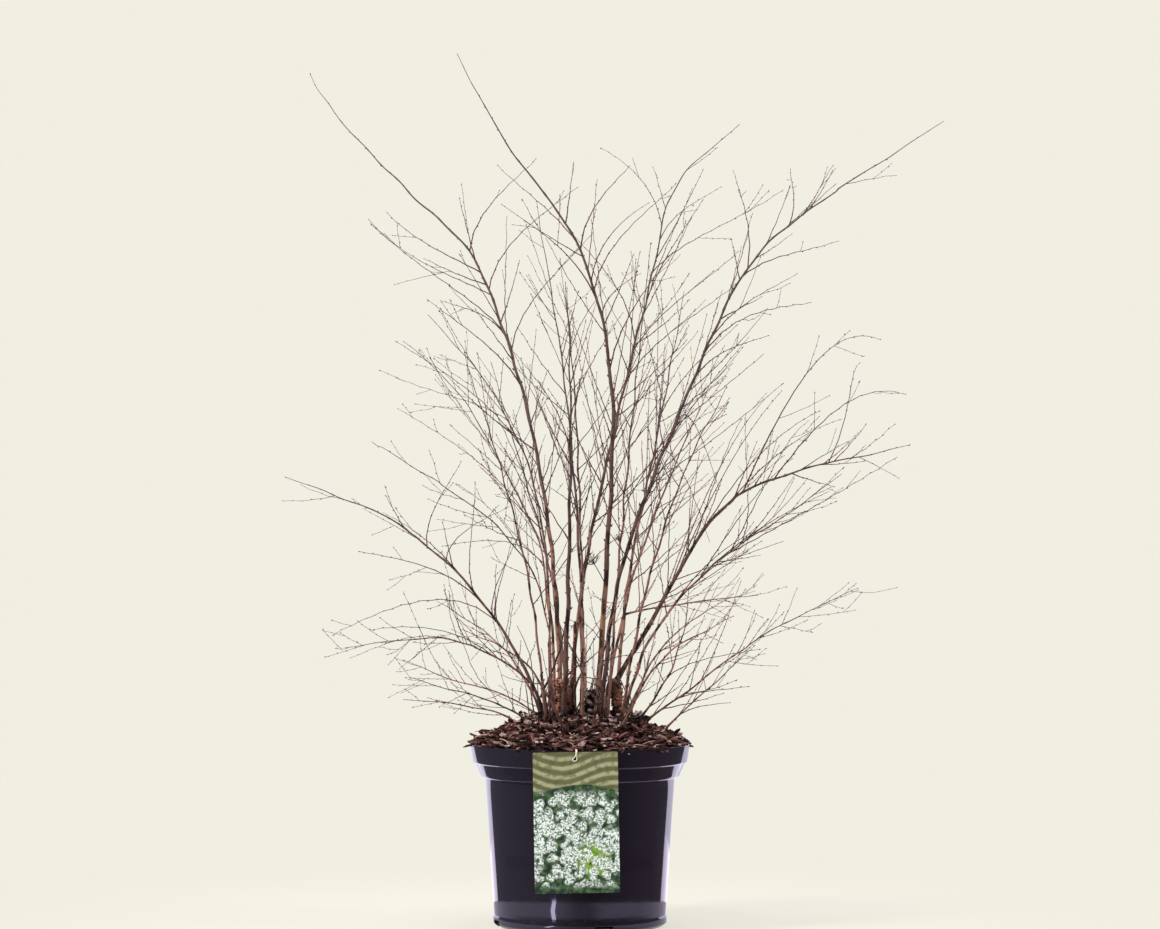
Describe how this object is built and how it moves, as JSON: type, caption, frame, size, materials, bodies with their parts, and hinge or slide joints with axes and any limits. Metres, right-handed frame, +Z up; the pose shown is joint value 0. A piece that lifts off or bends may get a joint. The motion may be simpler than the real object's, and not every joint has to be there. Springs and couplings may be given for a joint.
{
  "type": "bare winter spirea shrub in a nursery pot",
  "caption": "Leafless many-stemmed shrub in winter, with arching canes and fine twigs, in a round black nursery pot filled with bark mulch and hung with a plain garden label.",
  "frame": {"origin": "middle of the pot's flat underside, on the surface that the pot stands on", "axes": "+Z up, -Y to the front where the label hangs, +X to the right seen from the front"},
  "size_m": [0.8317, 0.7116, 1.0933],
  "materials": {
    "pot_plastic": "near-black moulded plastic with a faint violet cast, smooth and glossy",
    "mulch": "coarse dark brown bark chips over moist potting compost",
    "label_card": "thin printed plastic card, satin, greens and white blossom",
    "label_tie": "pale plastic strip",
    "cane_bark": "smooth reddish brown bark, lightly peeling, paler and more orange low down",
    "old_wood": "flaking old bark with pale pruning cuts",
    "twigs": "thin purplish brown twigs with small buds"
  },
  "bodies": {
    "root": {"back_left_cane": "cane_bark", "back_left_cane_spray": "twigs", "back_right_cane": "cane_bark", "back_right_cane_spray": "twigs", "back_upright": "cane_bark", "back_upright_spray": "twigs", "centre_cane": "cane_bark", "centre_cane_spray": "twigs", "centre_leader": "cane_bark", "centre_leader_spray": "twigs", "forked_cane": "cane_bark", "forked_cane_spray": "twigs", "front_cane": "cane_bark", "front_cane_spray": "twigs", "front_left_cane": "cane_bark", "front_left_cane_spray": "twigs", "front_right_cane": "cane_bark", "front_right_cane_spray": "twigs", "front_upright": "cane_bark", "front_upright_spray": "twigs", "label_card": "label_card", "label_tie": "label_tie", "left_back_spray": "twigs", "left_fork_spray": "twigs", "left_front_cane": "cane_bark", "left_front_cane_spray": "twigs", "left_front_spray": "twigs", "left_inner": "cane_bark", "left_inner_spray": "twigs", "left_leader": "cane_bark", "left_leader_spray": "twigs", "left_low_cane": "cane_bark", "left_low_cane_spray": "twigs", "left_middle_cane": "cane_bark", "left_middle_cane_spray": "twigs", "left_old_wood": "old_wood", "left_trailing_spray": "twigs", "low_back_left_spray": "twigs", "low_back_right_spray": "twigs", "low_back_spray": "twigs", "low_front_left_spray": "twigs", "low_front_right_spray": "twigs", "low_front_spray": "twigs", "mulch": "mulch", "pot": "pot_plastic", "pruned_stub": "old_wood", "right_cane": "cane_bark", "right_cane_spray": "twigs", "right_front_spray": "twigs", "right_leader": "cane_bark", "right_leader_spray": "twigs", "right_low_cane": "cane_bark", "right_low_cane_spray": "twigs", "right_low_spray": "twigs", "right_old_wood": "old_wood", "right_side_cane": "cane_bark", "right_side_cane_spray": "twigs", "right_side_spray": "twigs", "right_trailing_spray": "twigs"}
  },
  "joints": []
}
